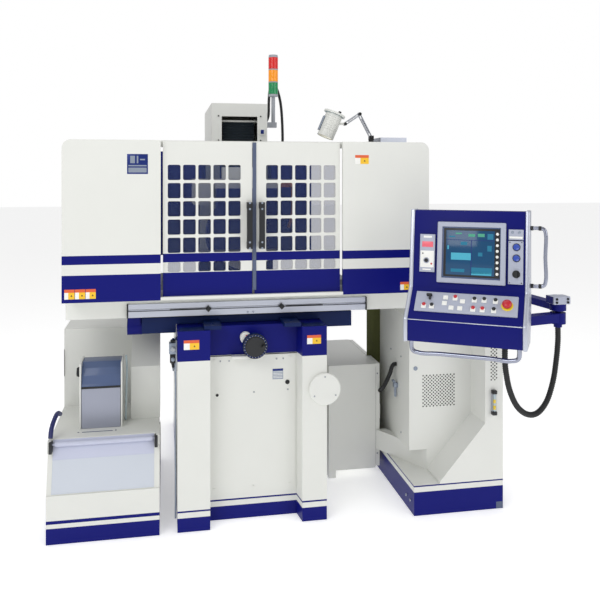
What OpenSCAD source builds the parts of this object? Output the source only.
// Surface grinder with a travelling table guard, a swing pendant and a coolant unit.
// X runs along the table, Y runs away from the operator, Z is up.
// The origin is the middle of the base's footprint, on the floor.

/* [Base] */
// Depth of the base casting, front to back
base_d = 1500; // [1460:10:1900]
// Width over the two front legs
base_w = 708; // [680:4:760]
// Height of the base's top face
base_h = 930; // [900:5:932]
// Width of the left leg's front face
leg_left_w = 151; // [120:1:170]
// Width of the right leg's front face
leg_right_w = 120; // [100:1:150]
// How far the middle of the front stands back
recess_d = 90; // [60:5:110]
// Radius of the four anchor holes
anchor_r = 13; // [9:0.5:16]
// Diameter of the cross feed handwheel
handwheel_d = 116; // [90:2:130]

/* [Saddle and table] */
// Width of the saddle along X
saddle_w = 1040; // [900:10:1100]
// Depth of the saddle
saddle_d = 420; // [380:10:440]
// Distance from the base's front to the saddle's front
saddle_y = 170; // [155:5:180]
// Length of the front rail
rail_w = 1165; // [1100:5:1200]
// Length of the magnetic chuck
chuck_w = 1000; // [800:10:1060]
// Depth of the magnetic chuck
chuck_d = 400; // [300:10:405]
// Height of the magnetic chuck
chuck_h = 85; // [60:1:100]
// Length of the trough under the guard
trough_w = 1736; // [1700:4:1740]
// Thickness of the trough's sheet
sheet = 3; // [2:0.5:4]

/* [Guard] */
// Length of the guard
guard_w = 1730; // [1700:5:1735]
// Height of the guard's front panels
guard_h = 735; // [650:5:760]
// Distance from the guard's front to the rail's front
guard_out = 143; // [120:1:160]
// Thickness of the guard's panels
panel_t = 22; // [12:1:24]
// Radius of the guard's outer top corners
guard_r = 40; // [20:1:60]
// Width of one sliding door
door_w = 414; // [400:1:420]
// Thickness of a sliding door
door_t = 14; // [8:1:16]
// Width of one door window
window_w = 58.5; // [50:0.5:62]
// Width of the bars between the windows
bar_w = 11.4; // [10:0.2:14]
// Height of one door window
window_h = 71; // [50:1:75]
// Height of the bars between the windows
bar_h = 13.5; // [10:0.5:14]

/* [Wheelhead] */
// Diameter of the grinding wheel
wheel_d = 355; // [300:5:360]
// Width of the grinding wheel
wheel_w = 50; // [25:1:60]
// Height of the spindle's axis above the floor
spindle_z = 1345; // [1330:1:1360]
// Diameter of the spindle
spindle_d = 60; // [40:2:70]

/* [Column] */
// Width of the column
column_w = 430; // [400:10:440]
// Height of the column's top above the floor
column_top = 1800; // [1790:5:1830]
// Width of the hood on the column
hood_w = 312; // [300:2:320]
// Height of the hood's top above the floor
hood_top = 2056; // [2030:2:2080]
// Diameter of the signal tower's lenses
lens_d = 56; // [40:1:64]
// Height of one lens
lens_h = 66; // [50:1:70]

/* [Cabinet and pendant] */
// Width of the cabinet at the floor
cabinet_w = 469; // [460:1:480]
// Height of the cabinet
cabinet_h = 930; // [900:5:940]
// Width of the pendant
pendant_w = 505; // [470:5:520]
// Height of the pendant
pendant_h = 556; // [540:4:600]
// Turn of the pendant towards the operator
pendant_turn = 32.5; // [20:0.5:40]

/* [Coolant unit] */
// Width of the coolant tank
tank_w = 499; // [480:1:500]
// Height of the tank's front
tank_h = 217; // [190:1:240]
// Depth of the tank
tank_d = 900; // [860:10:1000]

/* [Hidden] */
$fn = 48;

white = [0.93, 0.93, 0.90];
blue = [0.10, 0.12, 0.52];
grey = [0.68, 0.70, 0.72];
dark = [0.08, 0.09, 0.11];
steel = [0.62, 0.63, 0.65];

// Running clearance between two sliding or turning pieces
gap = 0.3;
// Radial clearance of a shaft in its bore
fit = 0.05;
base_x = base_w / 2;
recess_l = -base_x + leg_left_w;
recess_r = base_x - leg_right_w;
cavity_x = base_x - 44;
cavity_y = 135;
cavity_z = 50;
cavity_top = base_h - 60;
anchor_x = 270;
anchor_y = 560;
way_h = 18;
way_in = 150;
way_out = 230;
saddle_top = 965;
runner_h = 10;
table_z = saddle_top + runner_h;
rail_y = 127;
rail_t = 12;
rail_h = 63;
rail_top = table_z + 2 + rail_h;
table_front = rail_y + rail_t;
table_back = 565;
table_h = 70;
table_w = 1120;
chuck_z = table_z + table_h;
chuck_y = 155;
trough_back = 573;
trough_front = table_front;
guard_z = 1080;
guard_top = guard_z + guard_h;
guard_y = rail_y - guard_out;
guard_x = guard_w / 2;
opening_x = 430;
sill_h = 14;
strip_w = 300;
track_y = guard_y + panel_t + door_t + 6;
door_y = guard_y + panel_t + 1;
door_z = guard_z + sheet + gap;
door_top = guard_top - sheet - gap;
door_gap = 6;
window_x = 54;
window_rows = 5;
window_cols = 5;
window_z = guard_top - 113 - window_h;
pitch_x = window_w + bar_w;
pitch_z = window_h + bar_h;
low_window_z = guard_z + 125;
low_window_h = 46;
handle_z = 1310;
handle_h = 217;
column_y = 820;
way_y = 785;
column_d = 510;
hood_y = 643;
hood_d = 700;
wheel_y = 325;
wheel_cz = spindle_z;
cover_y = wheel_y - 25;
cover_t = 100;
housing_d = 190;
carriage_y = 690;
tower_x = 206;
tower_y = 750;
lens_z = 2123;
lens_pitch = lens_h + 7;
cab_l = 777;
plinth_h = 146;
duct_h = 106;
cab_r = cab_l + cabinet_w - 6;
cab_step = 1146;
cab_y = 123;
cab_out_y = -47;
cab_back = 640;
post_x = 1285;
post_y = 20;
elbow_x = 1330;
elbow_y = -400;
link_z = 1046;
arm_z = 992;
swivel_x = 1102;
swivel_y = -452;
pen_x = 664;
pen_y = -321;
pen_z = 947;
tank_l = -934;
tank_r = tank_l + tank_w;
tank_y = -5;
roll_y = 51;
roll_z = 428;
box_l = 468;
box_r = 733;
box_y = 450;
box_d = 600;
box_h = 613;

// Measures Y from the base's front face
module from_front() translate([0, -base_d / 2, 0]) children();
// A box given by its limits along each axis
module block(x, y, z)
  translate([x[0], y[0], z[0]]) cube([x[1] - x[0], y[1] - y[0], z[1] - z[0]]);
// A rod along Y from y0 to y1
module rod_y(x, z, r, y0, y1) translate([x, y0, z]) rotate([-90, 0, 0]) cylinder(h = y1 - y0, r = r);
// A rod along X from x0 to x1
module rod_x(y, z, r, x0, x1) translate([x0, y, z]) rotate([0, 90, 0]) cylinder(h = x1 - x0, r = r);
// An outline in X and Z, given thickness along Y
module slab_y(y0, y1) translate([0, y1, 0]) rotate([90, 0, 0]) linear_extrude(y1 - y0) children();
// An outline in Y and Z, given thickness along X
module slab_x(x0, x1)
  translate([x0, 0, 0]) rotate([90, 0, 90]) linear_extrude(x1 - x0) children();
// A rectangle with rounded corners made from true arcs
module round_rect(x, y, r) {
  translate([x[0] + r, y[0]]) square([x[1] - x[0] - 2 * r, y[1] - y[0]]);
  translate([x[0], y[0] + r]) square([x[1] - x[0], y[1] - y[0] - 2 * r]);
  for (cx = [x[0] + r, x[1] - r], cy = [y[0] + r, y[1] - r]) translate([cx, cy]) circle(r);
}

// A tube swept along a list of points, closed at both ends
function unit(v) = v / norm(v);
function tangent(p, i) = unit(p[min(i + 1, len(p) - 1)] - p[max(i - 1, 0)]);
function side(t) = unit(cross(t, abs(t[2]) > 0.9 ? [0, 1, 0.1] : [0, 0, 1]));
function ring(p, i, r, n) = let (t = tangent(p, i), a = side(t), b = cross(t, a))
  [for (k = [0:n - 1]) p[i] + r * (cos(360 * k / n) * a + sin(360 * k / n) * b)];
// A smooth curve through the points, with s steps between each pair
function spline(p, s) = [for (i = [0:len(p) - 2], j = [0:s - 1])
  let (a = p[max(i - 1, 0)], b = p[i], c = p[i + 1], d = p[min(i + 2, len(p) - 1)], t = j / s)
  0.5 * (2 * b + (c - a) * t + (2 * a - 5 * b + 4 * c - d) * t * t
    + (3 * b - 3 * c + d - a) * t * t * t), p[len(p) - 1]];
module tube(path, r, n = 8) {
  m = len(path);
  points = [for (i = [0:m - 1]) each ring(path, i, r, n)];
  sides = [for (i = [0:m - 2], k = [0:n - 1])
    [i * n + k, (i + 1) * n + k, (i + 1) * n + (k + 1) % n, i * n + (k + 1) % n]];
  polyhedron(points, concat(sides, [[for (k = [0:n - 1]) k]],
    [[for (k = [n - 1:-1:0]) (m - 1) * n + k]]));
}

// --- Base ---------------------------------------------------------------------------------
module base_casting() color(white) from_front() difference() {
  linear_extrude(base_h) polygon([[-base_x, 0], [recess_l, 0], [recess_l, recess_d],
    [recess_r - 12, recess_d], [recess_r, 0], [base_x, 0], [base_x, base_d], [-base_x, base_d]]);
  block([-cavity_x, cavity_x], [cavity_y, base_d + 1], [cavity_z, cavity_top]);
  for (x = [-anchor_x, anchor_x], y = [-anchor_y, anchor_y])
    translate([x, base_d / 2 + y, -1]) cylinder(h = cavity_z + 2, r = anchor_r);
  // Bore for the cross feed screw
  rod_y(9, 844, 20, recess_d - 1, cavity_y + 1);
}
module base_front_cover() color(white) from_front() {
  block([recess_l + 4, recess_r - 18], [recess_d - 4, recess_d], [120, 784]);
  for (x = [recess_l + 25, 9, recess_r - 45], z = [150, 765])
    rod_y(x, z, 6, recess_d - 8, recess_d - 4);
}
module base_side_cover() color(white) from_front() {
  difference() {
    rod_y(342, 629, 77, -14, 0);
    for (a = [90:120:330]) rod_y(342 + 60 * cos(a), 629 + 60 * sin(a), 4, -15, -10);
  }
  for (a = [90:120:330]) rod_y(342 + 60 * cos(a), 629 + 60 * sin(a), 3.9, -16, -10);
}
module base_rear_cover() color(white) from_front() {
  block([-cavity_x - 20, cavity_x + 20], [base_d, base_d + 4], [cavity_z - 10, cavity_top + 20]);
  for (x = [-cavity_x - 8, cavity_x + 8], z = [cavity_z + 20, 460, cavity_top - 20])
    rod_y(x, z, 7, base_d + 4, base_d + 8);
}
module cross_ways() color(steel) from_front() {
  for (s = [-1, 1]) difference() {
    block([min(s * way_in, s * way_out), max(s * way_in, s * way_out)], [10, way_y - 5],
      [base_h, base_h + way_h]);
    for (y = [60:120:720]) translate([s * (way_in + way_out) / 2, y, base_h + 8])
      cylinder(h = way_h, r = 7);
  }
}
// Handwheel, shaft and screw that feed the saddle
module cross_screw() color(dark) from_front() {
  rod_y(9, 844, handwheel_d / 2, 4, 44);
  rod_y(9, 844, handwheel_d / 2 - 14, 0, 4);
  rod_y(9, 844, 34, 44, recess_d - gap);
  rod_y(9, 844, 20 - fit, recess_d - gap, cavity_y);
  rod_y(9, 844, 16, cavity_y, 760);
  translate([9 + 38, 0, 844]) rotate([90, 0, 0]) cylinder(h = 22, r = 9);
}

// --- Saddle and table ---------------------------------------------------------------------
module saddle() color(blue) from_front() {
  y = [saddle_y, saddle_y + saddle_d];
  difference() {
    union() {
      block([-saddle_w / 2, saddle_w / 2], y, [base_h + 2, saddle_top]);
      for (s = [-1, 1]) block([min(s * (base_x + 4), s * saddle_w / 2),
        max(s * (base_x + 4), s * saddle_w / 2)], y, [890, saddle_top]);
      for (w = [[y[0] + 30, y[0] + 90], [y[1] - 90, y[1] - 30]])
        block([-saddle_w / 2, saddle_w / 2], w, [saddle_top, table_z]);
    }
    for (s = [-1, 1]) block([min(s * (way_in - gap), s * (way_out + gap)),
      max(s * (way_in - gap), s * (way_out + gap))], [y[0] - 1, y[1] + 1], [0, base_h + way_h]);
  }
}
// Hydraulic cylinder that drives the table, under its left end
module table_cylinder() color(blue) from_front() {
  rod_x(220, 918, 40, -saddle_w / 2 - 70, -saddle_w / 2);
  block([-saddle_w / 2 - 66, -saddle_w / 2 - 6], [182, 258], [918, saddle_top]);
}
module table() color(grey) from_front() difference() {
  block([-table_w / 2, table_w / 2], [table_front + sheet, table_back], [table_z, chuck_z]);
  // T slots in the top that hold the chuck
  for (y = [200, 355, 510]) {
    block([-table_w / 2 - 1, table_w / 2 + 1], [y - 7, y + 7], [chuck_z - 24, chuck_z + 1]);
    block([-table_w / 2 - 1, table_w / 2 + 1], [y - 12, y + 12], [chuck_z - 24, chuck_z - 13]);
  }
}
module front_rail() color(grey) from_front() {
  difference() {
    block([-rail_w / 2, rail_w / 2], [rail_y, table_front], [rail_top - rail_h, rail_top]);
    block([-rail_w / 2 - 1, rail_w / 2 + 1], [rail_y - 1, rail_y + 8],
      [rail_top - 34, rail_top - 26]);
    block([-rail_w / 2 - 1, rail_w / 2 + 1], [rail_y + 4, rail_y + 8],
      [rail_top - 38, rail_top - 22]);
  }
  for (s = [-1, 1]) translate([s > 0 ? rail_w / 2 : -rail_w / 2 - 5, rail_y - 2, rail_top - rail_h])
    cube([5, rail_t + 2, rail_h]);
}
// A dog that slides along the rail's slot and trips the table's reversal
module trip_dog(x) color(dark) from_front() translate([x, rail_y, rail_top - 30]) {
  rotate([90, 45, 0]) translate([-11, -11, gap]) cube([22, 22, 16]);
  translate([-9, -gap - 1, -3.5]) cube([18, 4, 7]);
  translate([-8, 4.4, -7]) cube([16, 3, 14]);
  translate([-5, 2, -3.5]) cube([10, 4, 7]);
  translate([0, -17, 0]) rotate([90, 0, 0]) cylinder(h = 6, r = 5);
}
module trip_dog_left() trip_dog(-205);
module trip_dog_right() trip_dog(153);
module magnetic_chuck() color(grey) from_front() {
  difference() {
    block([-chuck_w / 2, chuck_w / 2], [chuck_y, chuck_y + chuck_d], [chuck_z, chuck_z + chuck_h]);
    for (s = [-1, 1]) translate([s * (chuck_w / 2 - 16), chuck_y + chuck_d / 2, chuck_z - 1])
      cylinder(h = chuck_h + 2, r = 6.5);
    // Grooves between the pole strips
    for (x = [-chuck_w / 2 + 50:25:chuck_w / 2 - 50])
      block([x, x + 3], [chuck_y + 15, chuck_y + chuck_d - 15],
        [chuck_z + chuck_h - 1, chuck_z + chuck_h + 1]);
  }
  block([-chuck_w / 2, chuck_w / 2], [chuck_y - 8, chuck_y], [chuck_z + chuck_h - 30, chuck_z + chuck_h]);
}
module trough() color(white) from_front() {
  tx = trough_w / 2;
  difference() {
    block([-tx, tx], [trough_front, trough_back], [table_z, guard_z]);
    block([-tx + sheet, tx - sheet], [trough_front + sheet, trough_back - sheet],
      [table_z + sheet, guard_z + 1]);
    block([-table_w / 2 - 1, table_w / 2 + 1], [trough_front + sheet, trough_back - sheet],
      [table_z - 1, table_z + 5]);
  }
  // Lip that carries the guard's front
  block([-guard_x, guard_x], [guard_y + panel_t, trough_front + sheet], [guard_z, guard_z + sheet]);
}

// --- Guard --------------------------------------------------------------------------------
// The left half's fixed front, side wall and top strip; mirrored for the right half
module guard_half() from_front() difference() {
  union() {
    slab_y(guard_y, guard_y + panel_t) difference() {
      translate([-guard_x, guard_z]) square([guard_x - opening_x, guard_h]);
      difference() {
        translate([-guard_x - 1, guard_top - guard_r]) square([guard_r + 1, guard_r + 1]);
        translate([-guard_x + guard_r, guard_top - guard_r]) circle(guard_r);
      }
    }
    block([-guard_x, -guard_x + sheet], [guard_y + panel_t, trough_front + sheet],
      [guard_z + sheet, guard_top - guard_r]);
    block([-guard_x, -guard_x + sheet], [trough_front + sheet, trough_back - sheet],
      [guard_z - 30, guard_top - guard_r]);
    // Curved shoulder and top strip
    slab_y(guard_y + panel_t, trough_back) intersection() {
      difference() {
        translate([-guard_x + guard_r, guard_top - guard_r]) circle(guard_r);
        translate([-guard_x + guard_r, guard_top - guard_r]) circle(guard_r - sheet);
      }
      translate([-guard_x - 1, guard_top - guard_r]) square([guard_r + 1, guard_r + 1]);
    }
    block([-guard_x + guard_r, -guard_x + strip_w], [guard_y + panel_t, trough_back],
      [guard_top - sheet, guard_top]);
  }
}
module guard_left() color(white) guard_half();
module guard_right() color(white) mirror([1, 0, 0]) guard_half();
// Sill and header that the doors run on
module guard_track() color(white) from_front() {
  block([-opening_x, opening_x], [guard_y, guard_y + panel_t], [guard_z, guard_z + sill_h]);
  block([-guard_x + 8, guard_x - 8], [track_y, track_y + 4], [guard_z + sheet, guard_z + 40]);
  block([-guard_x + strip_w, guard_x - strip_w], [track_y, track_y + 34], [guard_top - 30, guard_top]);
}
// A sliding door with its window grid; s is -1 for the left door and 1 for the right
module door(s) color(white) from_front() {
  x0 = s > 0 ? door_gap : -door_gap - door_w;
  w0 = s > 0 ? window_x + door_gap : -window_x - door_gap - 5 * window_w - 4 * bar_w;
  difference() {
    block([x0, x0 + door_w], [door_y, door_y + door_t], [door_z, door_top]);
    for (i = [0:window_cols - 1], j = [0:window_rows])
      slab_y(door_y - 1, door_y + door_t + 1) round_rect(
        [w0 + i * pitch_x, w0 + i * pitch_x + window_w],
        j < window_rows ? [window_z - j * pitch_z, window_z - j * pitch_z + window_h]
          : [low_window_z, low_window_z + low_window_h], 8);
  }
}
module door_left() door(-1);
module door_right() door(1);
module door_pane(s) color([0.75, 0.82, 0.88, 0.3]) from_front() {
  x0 = s > 0 ? window_x - 8 + door_gap : -window_x - door_gap - 5 * window_w - 4 * bar_w - 8;
  block([x0, x0 + 5 * window_w + 4 * bar_w + 16], [door_y + door_t, door_y + door_t + 3],
    [low_window_z - 8, window_z + window_h + 10]);
}
module door_left_pane() door_pane(-1);
module door_right_pane() door_pane(1);
// A bow handle on two feet
module door_handle(x) color(dark) from_front() {
  y = door_y;
  block([x - 13, x + 13], [y - 46, y - 30], [handle_z, handle_z + handle_h]);
  for (z = [handle_z, handle_z + handle_h - 30]) block([x - 11, x + 11], [y - 30, y], [z, z + 30]);
}
module door_left_handle() door_handle(-22);
module door_right_handle() door_handle(36);

// --- Work lamp ----------------------------------------------------------------------------
lamp_x = 630;
lamp_y = 190;
lamp_top = 1846;
lamp_elbow = [566, 1966];
lamp_neck = [488, 1914];
lamp_bar = 12;
// Y of the forearm's and the head's middle
lamp_fore_y = lamp_y - lamp_bar + 0.2;
lamp_head_top = [437, 1969];
lamp_head_tilt = 23;
lamp_head_r = 43;
module lamp_swivel() color(dark) from_front() {
  translate([lamp_x, lamp_y, guard_top]) cylinder(h = 10, r = 30);
  translate([lamp_x, lamp_y, guard_top + 10]) cylinder(h = 12, r = 13);
  for (y = [lamp_y - 13, lamp_y + 6])
    block([lamp_x - 11, lamp_x + 11], [y, y + 7], [guard_top + 18, lamp_top + 11]);
}
// Two parallel bars between two pivots in one upright plane
module lamp_link(a, b, y, w) color(grey) from_front() {
  d = b - a;
  translate([a[0], y, a[1]]) rotate([0, -atan2(d[1], d[0]), 0]) {
    for (x = [0, norm(d)]) translate([x, -w / 2, 0]) rotate([-90, 0, 0]) cylinder(h = w, r = 9);
    for (z = [-8, 4]) translate([0, -w / 2, z]) cube([norm(d), w, 4]);
  }
}
module lamp_arm() lamp_link([lamp_x, lamp_top], lamp_elbow, lamp_y, lamp_bar - 1);
module lamp_forearm() lamp_link(lamp_elbow, lamp_neck, lamp_fore_y, lamp_bar);
module lamp_head() color([0.9, 0.9, 0.92]) from_front() translate([0, lamp_fore_y, 0]) {
  y = -lamp_bar / 2 - gap;
  rod_y(lamp_neck[0], lamp_neck[1], 9, y - 6, y);
  block([lamp_neck[0] - 48, lamp_neck[0]], [y - 6, y], [lamp_neck[1] - 6, lamp_neck[1] + 6]);
  translate([lamp_head_top[0], 0, lamp_head_top[1]]) rotate([0, 180 + lamp_head_tilt, 0]) {
    cylinder(h = 10, r = 56);
    translate([0, 0, 10]) difference() {
      cylinder(h = 122, r = lamp_head_r);
      translate([0, 0, 20]) cylinder(h = 103, r = lamp_head_r - 4);
    }
  }
}
module lamp_driver() color(grey) from_front()
  block([662, 800], [lamp_y - 60, lamp_y + 60], [guard_top, guard_top + 30]);

// --- Column -------------------------------------------------------------------------------
module column() color(blue) from_front() {
  conduit_gland();
  difference() {
  block([-column_w / 2, column_w / 2], [column_y, column_y + column_d], [base_h, column_top]);
  block([-column_w / 2 + 40, column_w / 2 - 40], [column_y + 50, column_y + column_d - 40],
    [base_h + 40, column_top + 1]);
  }
}
module conduit_gland() rod_x(830, 1700, 13, column_w / 2, column_w / 2 + 10);
module column_ways() color(steel) from_front() for (s = [-1, 1])
  block([min(s * 100, s * 180), max(s * 100, s * 180)], [way_y, column_y], [1160, column_top - 10]);
module column_hood() color(white) from_front() {
  difference() {
    block([-hood_w / 2, hood_w / 2], [hood_y, hood_y + hood_d], [column_top, hood_top]);
    block([-hood_w / 2 + 4, hood_w / 2 - 4], [hood_y + 4, hood_y + hood_d - 4], [column_top + 4, hood_top - 4]);
    block([-100, 100], [hood_y - 1, hood_y + 5], [column_top - 1, 1983]);
    block([-100, 100], [hood_y - 1, column_y - 20], [column_top - 1, column_top + 5]);
  }
  for (x = [-118, 118], z = [1850, 1985]) rod_y(x, z, 5, hood_y - 4, hood_y);
  block([112, 140], [hood_y - 12, hood_y], [1880, 1915]);
  // Header that the bellows hang from
  block([-hood_w / 2 + 4, hood_w / 2 - 4], [700, 766], [1956, 1966]);
  rod_x(830, 1975, 13, hood_w / 2, hood_w / 2 + 10);
}
// Folded cover over the upper ways, fixed at its top
module column_bellows() color(dark) from_front() slab_x(-92, 92) polygon(concat(
  [for (i = [0:16]) [(i % 2 == 0 ? 700 : 712), 1700 + i * 16]],
  [for (i = [16:-1:0]) [(i % 2 == 0 ? 766 : 754), 1700 + i * 16]]));
module rear_shields() color(blue) from_front() {
  for (s = [-1, 1]) block([min(s * 200, s * 440), max(s * 200, s * 440)],
    [way_y + 8, way_y + 12], [1200, 1790]);
  for (s = [-1, 1]) block([min(s * 200, s * 215), max(s * 200, s * 215)], [way_y + 12, column_y],
    [1220, 1760]);
}
module tower_mast() color(grey) from_front() {
  translate([tower_x, tower_y, 1960]) cylinder(h = lens_z - 13 - 1960, r = 11);
  translate([tower_x, tower_y, lens_z - 13]) cylinder(h = 13, r = lens_d / 2);
  translate([tower_x, tower_y, lens_z + 3 * lens_pitch]) cylinder(h = 8, r = lens_d / 2 - 2);
  block([hood_w / 2, tower_x + 18], [tower_y - 18, tower_y + 18], [1930, 1960]);
}
module lens(z, c) color(c) from_front() translate([tower_x, tower_y, z]) {
  cylinder(h = lens_h, r = lens_d / 2);
  translate([0, 0, lens_h]) cylinder(h = lens_pitch - lens_h, r = lens_d / 2 - 3);
}
module green_lens() lens(lens_z, "green");
module amber_lens() lens(lens_z + lens_pitch, "orange");
module red_lens() lens(lens_z + 2 * lens_pitch, "red");
// Flexible conduit that loops over beside the tower
conduit_path = [[166.6, 830, 1975], [172, 830, 1975], [178, 830, 1975], [190, 830, 2010], [192, 830, 2090],
  [198, 830, 2160], [215, 830, 2200], [240, 830, 2165], [262, 830, 2080], [272, 830, 1960],
  [274, 830, 1830], [268, 830, 1750], [238, 830, 1700], [232, 830, 1700],
  [225.6, 830, 1700]];
module signal_conduit() color(dark) from_front() tube(spline(conduit_path, 5), 8.5, 8);

// --- Wheelhead ----------------------------------------------------------------------------
module wheelhead() color(white) from_front() {
  difference() {
    union() {
      // Carriage on the column's ways
      block([-215, 215], [carriage_y, way_y - gap], [1200, 1620]);
      // Spindle housing
      rod_y(0, spindle_z, housing_d / 2, cover_y + cover_t, carriage_y);
      block([-152, 190], [cover_y + cover_t, carriage_y], [1575, 1634]);
      block([-60, 60], [cover_y + cover_t, carriage_y], [1400, 1600]);
      // Dust duct at the left
      block([-262, -170], [cover_y + cover_t, carriage_y + 40], [1500, 1634]);
    }
    rod_y(0, spindle_z, spindle_d / 2 + fit, cover_y, way_y - 30);
  }
  // Bellows plate
  block([-92, 92], [700, 766], [1620, 1700 - gap]);
}
module wheel_cover() color(blue) from_front() difference() {
  slab_y(cover_y - 4, cover_y + cover_t) difference() {
    union() {
      translate([0, spindle_z]) circle(r = 205, $fn = 96);
      translate([-152, 1345]) square([342, 240]);
    }
    translate([-400, 900]) square([800, 1275 - 900]);
  }
  // Room for the wheel
  rod_y(0, spindle_z, 190, cover_y, cover_y + cover_t - 6);
  rod_y(0, spindle_z, spindle_d / 2 + 2, cover_y, cover_y + cover_t + 1);
}
module grinding_wheel() color([0.92, 0.9, 0.86]) from_front() {
  rod_y(0, spindle_z, wheel_d / 2, wheel_y, wheel_y + wheel_w);
  rod_y(0, spindle_z, 70, wheel_y - 14, wheel_y);
  rod_y(0, spindle_z, 24, wheel_y - 22, wheel_y - 14);
  rod_y(0, spindle_z, 60, wheel_y + wheel_w, wheel_y + wheel_w + 12);
  rod_y(0, spindle_z, spindle_d / 2, wheel_y + wheel_w, way_y - 40);
}
nozzle_path = [[247, 420, 1606], [247, 380, 1606], [247, 345, 1590], [247, 338, 1540],
  [247, 336, 1480], [240, 336, 1430], [222, 336, 1380]];
module coolant_nozzle() color([0.8, 0.6, 0.5]) from_front() {
  tube(spline(nozzle_path, 4), 9, 10);
  block([190, 262], [420, 460], [1590, 1622]);
}

// --- Valve box and duct -------------------------------------------------------------------
module valve_box() color(white) from_front() difference() {
  block([box_l, box_r], [box_y, box_y + box_d], [0, box_h]);
  block([box_l + 3, box_r + 1], [box_y + 3, box_y + box_d - 3], [60, box_h - 3]);
  block([box_l + 40, box_r + 1], [box_y - 1, box_y + box_d + 1], [-1, 40]);
}
module valve_box_cover() color(white) from_front() {
  block([box_r, box_r + 22], [box_y, box_y + box_d - 20], [50, box_h + 2]);
  block([box_r + 22, box_r + 34], [box_y + 30, box_y + 60], [300, 380]);
}
// Slanting duct between the box and the cabinet
duct_plan = [[box_r, box_y], [905, cab_y], [945, cab_y + 17], [790, box_y]];
module trunk_duct() color(white) from_front() translate([0, 0, plinth_h]) linear_extrude(duct_h)
  polygon(duct_plan);

// --- Cabinet ------------------------------------------------------------------------------
// Axis of the cabinet door's hinge
hinge_x = cab_r - 6;
hinge_y = cab_back + 27.5;
knuckle_z = [300, 760];
module cabinet() color(white) from_front() difference() {
  union() {
    // Hinge knuckles and pins of the door
    for (z = knuckle_z) {
      translate([hinge_x, hinge_y, z + 38 + gap]) cylinder(h = 38, r = 7);
      translate([hinge_x, hinge_y, z + 2]) cylinder(h = 50, r = 3);
      block([hinge_x + 1, cab_r], [cab_back - 2, hinge_y], [z + 40, z + 74]);
    }
    block([cab_l, cab_r], [cab_out_y, cab_back], [0, plinth_h]);
    block([cab_l + 35, cab_r], [cab_y, cab_back], [plinth_h, cabinet_h]);
    slab_y(cab_out_y, cab_y) polygon([[909, plinth_h], [cab_r, plinth_h], [cab_r, cabinet_h],
      [cab_step, cabinet_h], [cab_step, 426], [909, 155]]);
  }
  block([cab_l + 39, cab_r - 4], [cab_y + 4, cab_back + 1], [plinth_h + duct_h + 8, cabinet_h - 4]);
  // The corner that the duct passes through
  translate([0, 0, plinth_h]) linear_extrude(duct_h)
    polygon([[cab_l - 1, cab_y - 1], [cab_l - 1, box_y], duct_plan[3], duct_plan[2], duct_plan[1],
      [905, cab_y - 1]]);
}
module cabinet_door() color(white) from_front() {
  block([cab_l + 41, cab_r - 6], [cab_back + gap, cab_back + 20], [plinth_h + 10, cabinet_h - 6]);
  block([cab_l + 60, cab_l + 84], [cab_back + 20, cab_back + 34], [480, 600]);
  for (z = knuckle_z) difference() {
    union() {
      translate([hinge_x, hinge_y, z]) cylinder(h = 38, r = 7);
      block([hinge_x - 30, hinge_x - 2], [cab_back + 20, hinge_y + 4], [z + 2, z + 36]);
    }
    translate([hinge_x, hinge_y, z - 1]) cylinder(h = 40, r = 3 + fit);
  }
}
module oil_gauge() color(grey) from_front() {
  block([cab_step + 30, cab_step + 52], [cab_out_y - 14, cab_out_y], [470, 590]);
  for (z = [478, 574]) rod_y(cab_step + 41, z + 4, 7, cab_out_y - 22, cab_out_y - 14);
}

// --- Pendant ------------------------------------------------------------------------------
module pendant_post() color(grey) from_front() {
  block([cab_r, post_x - 20], [post_y - 40, post_y + 40], [820, 840]);
  block([cab_r, cab_r + 12], [post_y - 50, post_y + 50], [740, 900]);
  translate([post_x, post_y, 800]) cylinder(h = link_z - 800 - gap, r = 27);
  translate([post_x, post_y, 800]) cylinder(h = link_z - 800 + 40, r = 14);
}
// Flat bar between two upright pivots
module link_bar(a, b, z, h, w) {
  d = b - a;
  translate([a[0], a[1], z]) rotate([0, 0, atan2(d[1], d[0])])
    translate([0, -w / 2, 0]) cube([norm(d), w, h]);
}
module pendant_link() color(blue) from_front() difference() {
  union() {
    link_bar([post_x, post_y], [elbow_x, elbow_y], link_z, 32, 54);
    translate([post_x, post_y, link_z]) cylinder(h = 32, r = 32);
    translate([elbow_x, elbow_y, link_z]) cylinder(h = 64, r = 36);
    block([elbow_x - 42, elbow_x + 42], [elbow_y - 30, elbow_y + 30], [link_z + 32, link_z + 64]);
  }
  translate([post_x, post_y, link_z - 1]) cylinder(h = 70, r = 14 + fit);
  translate([elbow_x, elbow_y, link_z - 1]) cylinder(h = 50, r = 12 + fit);
}
module pendant_arm() color(blue) from_front() {
  difference() {
    union() {
      link_bar([elbow_x, elbow_y], [swivel_x, swivel_y], arm_z + 2, 40, 56);
      translate([elbow_x, elbow_y, arm_z - 6]) cylinder(h = 50, r = 34);
      translate([elbow_x, elbow_y, arm_z - 22]) cylinder(h = 20, r = 18);
      translate([swivel_x, swivel_y, arm_z]) cylinder(h = 44, r = 30);
    }
    translate([swivel_x, swivel_y, arm_z - 1]) cylinder(h = 50, r = 12 + fit);
  }
  translate([elbow_x, elbow_y, arm_z + 40]) cylinder(h = link_z - arm_z - 40 + 45, r = 12);
}
// Places what is given in the pendant's own frame: X across, Y back, Z up from its bottom
module on_pendant() from_front() translate([pen_x, pen_y, pen_z]) rotate([0, 0, -pendant_turn]) children();
pen_rail = 18;
lip_y = -150;
// Heights of the case's front lip and of the crease under the screen
lip_z = 99;
crease_z = 218;
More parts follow.
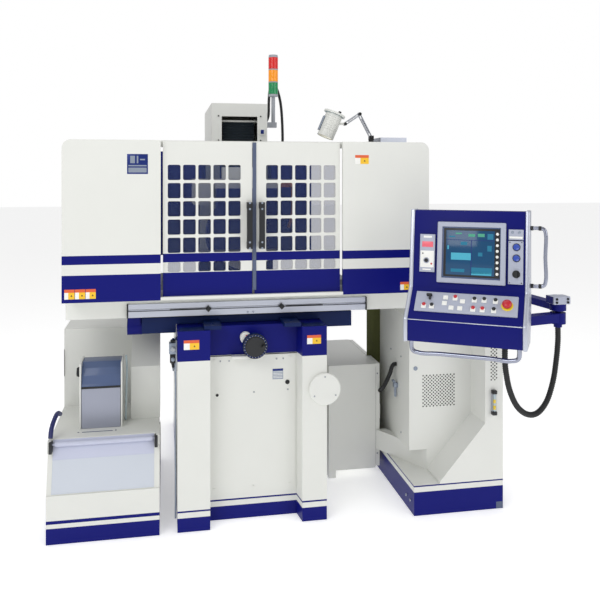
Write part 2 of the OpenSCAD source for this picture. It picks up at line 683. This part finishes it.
// How far the rails stand proud of the panels
proud = 4;
case_back = 75;
module pen_side(g) polygon([[g, pendant_h - g], [-45 + g, crease_z], [lip_y + g, lip_z], [lip_y + g, g],
  [20, g], [case_back - g, 120], [case_back - g, pendant_h - g]]);
module pendant_case() color(blue) {
  on_pendant() {
    slab_x(pen_rail, pendant_w - pen_rail) pen_side(proud);
    for (x = [0, pendant_w - pen_rail]) slab_x(x, x + pen_rail) pen_side(0);
    // Side handle
    for (z = [242, 484]) rod_x(10, z, 7, pendant_w, pendant_w + 60);
    translate([pendant_w + 60, 10, 232]) cylinder(h = 262, r = 9);
    // Bottom handle
    for (x = [32, pendant_w - 32]) translate([x, lip_y + 20, -44]) cylinder(h = 44 + proud, r = 8);
    rod_x(lip_y + 20, -44, 10, 21, pendant_w - 21);
  }
  // Two lugs and a pin at the back that the arm carries
  on_pendant() for (z = [arm_z - pen_z - 24 - gap, arm_z - pen_z + 44 + gap])
    block([413, 467], [25, 125], [z + 1, z + 23]);
  from_front() translate([swivel_x, swivel_y, 0]) {
    translate([0, 0, arm_z - 24 - gap]) cylinder(h = 92 + 2 * gap, r = 12);
    translate([0, 0, arm_z - 24 - gap]) cylinder(h = 24, r = 30);
    translate([0, 0, arm_z + 44 + gap]) cylinder(h = 24, r = 30);
  }
  // Gland of the cable
  from_front() translate([1004, -538, pen_z - 12]) cylinder(h = 16, r = 18);
}
// Tilt of the upper face, and a frame on it: X across, Y up the face, Z out of it
face_tilt = atan2(45, pendant_h - crease_z);
module on_face() on_pendant() translate([0, -45, crease_z]) rotate([90 - face_tilt, 0, 0])
  translate([0, 0, -proud * cos(face_tilt)]) children();
// The same on the lower keyboard slope
slope_tilt = atan2(-45 - lip_y, crease_z - lip_z);
module on_slope() on_pendant() translate([0, lip_y, lip_z])
  rotate([90 - slope_tilt, 0, 0]) translate([0, 0, -proud * cos(slope_tilt)]) children();
module plate(x, y, h, r = 4) linear_extrude(h) round_rect(x, y, r);
// Screen, bezel, key strips and switch plates
module pendant_panels() color(grey) {
  on_face() {
    difference() {
      plate([122, 410], [26, 288], 12);
      translate([0, 0, 6]) plate([141, 394], [42, 272], 12, 2);
    }
    translate([0, 0, 5.9]) plate([150, 388], [52, 262], 3, 2);
    for (j = [0:7]) translate([0, 0, 8.8]) plate([368, 380], [66 + j * 24, 78 + j * 24], 3, 3);
    plate([46, 112], [68, 232], 9);
    plate([420, 480], [34, 214], 9);
    plate([420, 480], [218, 262], 6);
    for (y = [188, 142]) translate([453, y, 9]) cylinder(h = 7, r = 12);
  }
  on_slope() {
    difference() {
      plate([40, 465], [40, 138], 6);
      translate([estop_at[0], estop_at[1], -1]) cylinder(h = 10, r = 13 + gap);
    }
    for (i = [0:7], j = [0:1]) translate([0, 0, 6])
      plate([66 + i * 41, 88 + i * 41], [56 + j * 44, 78 + j * 44], 5, 3);
  }
}
estop_at = [422, 90];
estop_travel = 5;
module estop_button() color("red") on_slope() translate([estop_at[0], estop_at[1], 0]) {
  translate([0, 0, estop_travel + gap]) cylinder(h = 10, r = 13);
  translate([0, 0, estop_travel + 9]) cylinder(h = 16, r = 20);
}
module mode_knob() color(dark) on_face() translate([453, 76, 9 + gap]) {
  cylinder(h = 8, r = 16);
  translate([-5, -15, 8]) cube([10, 30, 12]);
}
cable_path = [[1004, -538, 934.4], [1004, -538, 875], [1010, -535, 820], [1030, -528, 740],
  [1070, -515, 665], [1130, -490, 618], [1195, -462, 610], [1255, -435, 650], [1295, -418, 730],
  [1318, -406, 820], [1330, -400, 905], [1330, -400, 969.5]];
module pendant_cable() color(dark) from_front() tube(spline(cable_path, 4), 13, 10);

// --- Coolant unit -------------------------------------------------------------------------
module coolant_tank() color(white) from_front() {
  difference() {
    union() {
      block([tank_l, tank_r], [tank_y, tank_y + tank_d], [0, tank_h]);
      // Sloping filter bed and the ledge behind it
      slab_x(tank_l, tank_r) polygon([[tank_y + 6, tank_h], [70, 447], [110, 447], [110, 440],
        [200, 440], [200, tank_h]]);
      block([tank_l + 4, tank_l + 357], [566, tank_y + tank_d - 10], [tank_h, 845]);
      block([tank_l + 4, tank_r - 4], [200, 566], [tank_h, 440]);
    }
    block([tank_l + 6, tank_r - 6], [tank_y + 6, tank_y + tank_d - 6], [20, tank_h - 6]);
    block([tank_l + 12, tank_l + 349], [574, tank_y + tank_d - 18], [tank_h - 10, 837]);
    block([tank_l + 12, tank_r - 12], [208, 575], [tank_h - 10, 432]);
  }
  // Brackets of the paper roll
  for (x = [tank_l, tank_r - 16]) difference() {
    slab_x(x, x + 16) polygon([[30, 395], [roll_y - 14, 400], [roll_y - 14, 446], [70, 447], [60, 410]]);
    rod_x(roll_y, roll_z, 5 + fit, x - 1, x + 17);
  }
}
module paper_roll() color(dark) from_front() {
  rod_x(roll_y, roll_z, 11, tank_l + 16 + gap, tank_r - 16 - gap);
  rod_x(roll_y, roll_z, 5, tank_l + 2, tank_r - 2);
}
module magnetic_separator() color([0.36, 0.42, 0.56]) from_front() {
  slab_x(-805, -620) polygon([[200, 440 + gap], [350, 440 + gap], [350, 746], [260, 746],
    [205, 650], [200, 640]]);
  for (x = [-812, -620]) block([x, x + 7], [196, 356], [440 + gap, 752]);
  rod_x(290, 690, 24, -834, -812);
}
module drain_chute() color(white) from_front() difference() {
  slab_x(-577, -435) polygon([[300, 440 + gap], [560, 440 + gap], [560, 880], [480, 880], [300, 700]]);
  slab_x(-572, -440) polygon([[306, 446], [554, 446], [554, 881], [486, 881], [306, 696]]);
}

base_casting();
base_front_cover();
base_side_cover();
base_rear_cover();
cross_ways();
cross_screw();
saddle();
table_cylinder();
table();
front_rail();
magnetic_chuck();
trough();
guard_left();
guard_right();
guard_track();
trip_dog_left();
trip_dog_right();
door_left();
door_left_pane();
door_left_handle();
door_right();
door_right_pane();
door_right_handle();
lamp_swivel();
lamp_arm();
lamp_forearm();
lamp_head();
lamp_driver();
column();
column_ways();
column_hood();
column_bellows();
rear_shields();
tower_mast();
red_lens();
amber_lens();
green_lens();
signal_conduit();
wheelhead();
wheel_cover();
grinding_wheel();
coolant_nozzle();
valve_box();
valve_box_cover();
trunk_duct();
cabinet();
cabinet_door();
oil_gauge();
pendant_post();
pendant_link();
pendant_arm();
pendant_case();
pendant_panels();
estop_button();
mode_knob();
pendant_cable();
coolant_tank();
magnetic_separator();
paper_roll();
drain_chute();
